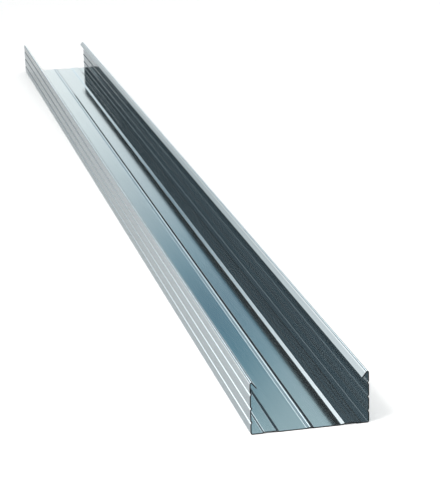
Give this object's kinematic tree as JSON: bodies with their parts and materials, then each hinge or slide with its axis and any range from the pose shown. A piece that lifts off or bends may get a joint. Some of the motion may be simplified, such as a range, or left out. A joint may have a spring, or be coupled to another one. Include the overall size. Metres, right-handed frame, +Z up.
{
  "type": "ceiling furring channel",
  "caption": "Roll-formed lipped C-section steel channel with a ribbed web, grooved flanges and hooked lips, hung under a ceiling to carry boards.",
  "frame": {"origin": "middle of the web's underside, half-way along the channel, on the surface that it lies on", "axes": "+X across the web, +Y along the channel, +Z up through the open side"},
  "size_m": [0.06, 1, 0.027],
  "materials": {
    "galvanised_steel": "zinc-coated strip, satin, with fine rolling lines along its length"
  },
  "bodies": {
    "root": {"furring_channel": "galvanised_steel"}
  },
  "joints": []
}
